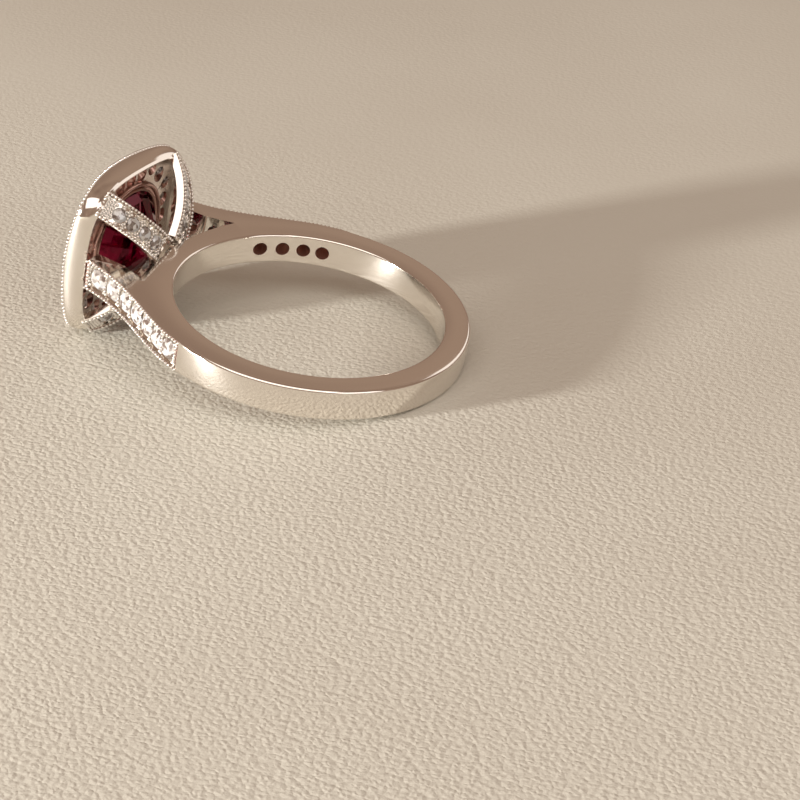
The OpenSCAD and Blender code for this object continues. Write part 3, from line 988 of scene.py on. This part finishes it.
def floor_material():
    """Pale leather: rounded pebbles of grain that flatten towards the back, fine wrinkles and
    a slow drift of colour."""
    material, output, add, tree = new_material("pale_leather")
    place = add("ShaderNodeTexCoord").outputs["Object"]
    warp = add("ShaderNodeTexNoise", {"Vector": place, "Scale": 1900.0, "Detail": 2.0})
    shift = add(
        "ShaderNodeVectorMath",
        {0: warp.outputs["Color"], 1: (0.0004, 0.0004, 0.0004)},
        operation="MULTIPLY",
    )
    bent = add("ShaderNodeVectorMath", {0: place, 1: shift.outputs["Vector"]}, operation="ADD")
    grain = add(
        "ShaderNodeTexVoronoi",
        {"Vector": bent.outputs["Vector"], "Scale": 2900.0, "Smoothness": 0.4},
        feature="SMOOTH_F1",
    )
    fine = add("ShaderNodeTexNoise", {"Vector": place, "Scale": 6500.0, "Detail": 3.0})
    height = add(
        "ShaderNodeMath",
        {0: fine.outputs["Fac"], 1: 0.35, 2: grain.outputs["Distance"]},
        operation="MULTIPLY_ADD",
    )
    along = add("ShaderNodeSeparateXYZ", {"Vector": place})
    flatter = add(
        "ShaderNodeMapRange",
        {
            "Value": along.outputs["Y"],
            "From Min": -0.005,
            "From Max": 0.035,
            "To Min": 1.0,
            "To Max": 0.2,
        },
    )
    bump = add(
        "ShaderNodeBump",
        {
            "Height": height.outputs["Value"],
            "Strength": flatter.outputs["Result"],
            "Distance": 0.000048,
        },
        invert=True,
    )
    drift = add("ShaderNodeTexNoise", {"Vector": place, "Scale": 25.0, "Detail": 3.0})
    tint = add("ShaderNodeValToRGB", {"Fac": drift.outputs["Fac"]})
    tint.color_ramp.elements[0].position = 0.3
    tint.color_ramp.elements[0].color = (0.6, 0.575, 0.505, 1)
    tint.color_ramp.elements[1].position = 0.7
    tint.color_ramp.elements[1].color = (0.66, 0.645, 0.575, 1)
    shader = add(
        "ShaderNodeBsdfPrincipled",
        {
            "Base Color": tint.outputs["Color"],
            "Roughness": 0.6,
            "Normal": bump.outputs["Normal"],
        },
    )
    tree.links.new(shader.outputs["BSDF"], output.inputs["Surface"])
    return material


def make_stage():
    """The leather floor, level with the lowest point of the ring."""
    mesh = bpy.data.meshes.new("floor")
    half = 0.6
    mesh.from_pydata(
        [(-half, -half, 0), (half, -half, 0), (half, half, 0), (-half, half, 0)],
        [],
        [(0, 1, 2, 3)],
    )
    mesh.materials.append(floor_material())
    floor = bpy.data.objects.new("floor", mesh)
    floor.location.z = CAD_BOX[0].z
    bpy.context.scene.collection.objects.link(floor)


def area_light(name, place, target, size, power, colour):
    """A rectangular soft box at a place, turned to a target."""
    data = bpy.data.lights.new(name, "AREA")
    data.shape = "RECTANGLE"
    data.size, data.size_y = size
    data.energy = power
    data.color = colour
    lamp = bpy.data.objects.new(name, data)
    lamp.location = place
    lamp.rotation_euler = (Vector(target) - Vector(place)).to_track_quat("-Z", "Y").to_euler()
    bpy.context.scene.collection.objects.link(lamp)


def make_lights():
    """A low hard key from the near left, and soft boxes overhead, behind and on the right."""
    key_elevation = math.radians(10)
    key_distance = 0.37
    level = math.cos(key_elevation)
    toward_key = Vector((-0.61 * level, -0.79 * level, math.sin(key_elevation)))
    area_light(
        "key",
        place=toward_key * key_distance,
        target=(0, 0, 0.004),
        size=(0.033, 0.033),
        power=2.3,
        colour=(1.0, 0.96, 0.9),
    )
    area_light(
        "overhead",
        place=(0.08, -0.2, 0.27),
        target=(0, 0, 0),
        size=(0.42, 0.3),
        power=0.55,
        colour=(1.0, 0.95, 0.89),
    )
    area_light(
        "back",
        place=(0.1, 0.28, 0.17),
        target=(0, 0, 0),
        size=(0.24, 0.15),
        power=0.09,
        colour=(1.0, 0.97, 0.93),
    )
    area_light(
        "right",
        place=(0.33, -0.1, 0.17),
        target=(0, 0, 0),
        size=(0.2, 0.2),
        power=0.19,
        colour=(1.0, 0.97, 0.94),
    )


def make_world():
    """Warm surroundings whose brightness drifts a little."""
    world = bpy.data.worlds.new("studio")
    bpy.context.scene.world = world
    world.use_nodes = True
    tree = world.node_tree
    around = tree.nodes.new("ShaderNodeTexCoord")
    drift = tree.nodes.new("ShaderNodeTexNoise")
    drift.inputs["Scale"].default_value = 2.2
    drift.inputs["Detail"].default_value = 1.0
    tree.links.new(around.outputs["Generated"], drift.inputs["Vector"])
    ramp = tree.nodes.new("ShaderNodeValToRGB")
    ramp.color_ramp.elements[0].position = 0.3
    ramp.color_ramp.elements[0].color = (0.235, 0.152, 0.113, 1)
    ramp.color_ramp.elements[1].position = 0.7
    ramp.color_ramp.elements[1].color = (0.36, 0.25, 0.184, 1)
    tree.links.new(drift.outputs["Fac"], ramp.inputs["Fac"])
    tree.links.new(ramp.outputs["Color"], tree.nodes["Background"].inputs["Color"])


def make_camera():
    """A long lens from the near right, looking down past the ring."""
    azimuth = math.radians(28.05)
    elevation = math.radians(26.7)
    roll = math.radians(0.7)
    distance = 0.1491
    target = Vector((0.01537, -0.01165, 0.0053))
    forward = Vector(
        (
            -math.sin(azimuth) * math.cos(elevation),
            math.cos(azimuth) * math.cos(elevation),
            -math.sin(elevation),
        )
    )
    turn = forward.to_track_quat("-Z", "Y").to_matrix() @ Matrix.Rotation(roll, 3, "Z")
    data = bpy.data.cameras.new("camera")
    data.lens = 120
    data.sensor_width = 36
    data.clip_start = 0.01
    camera = bpy.data.objects.new("camera", data)
    camera.location = target - distance * forward
    camera.rotation_euler = turn.to_euler()
    bpy.context.scene.collection.objects.link(camera)
    bpy.context.scene.camera = camera


make_stage()
make_lights()
make_world()
make_camera()
bpy.context.scene.view_settings.view_transform = "Standard"
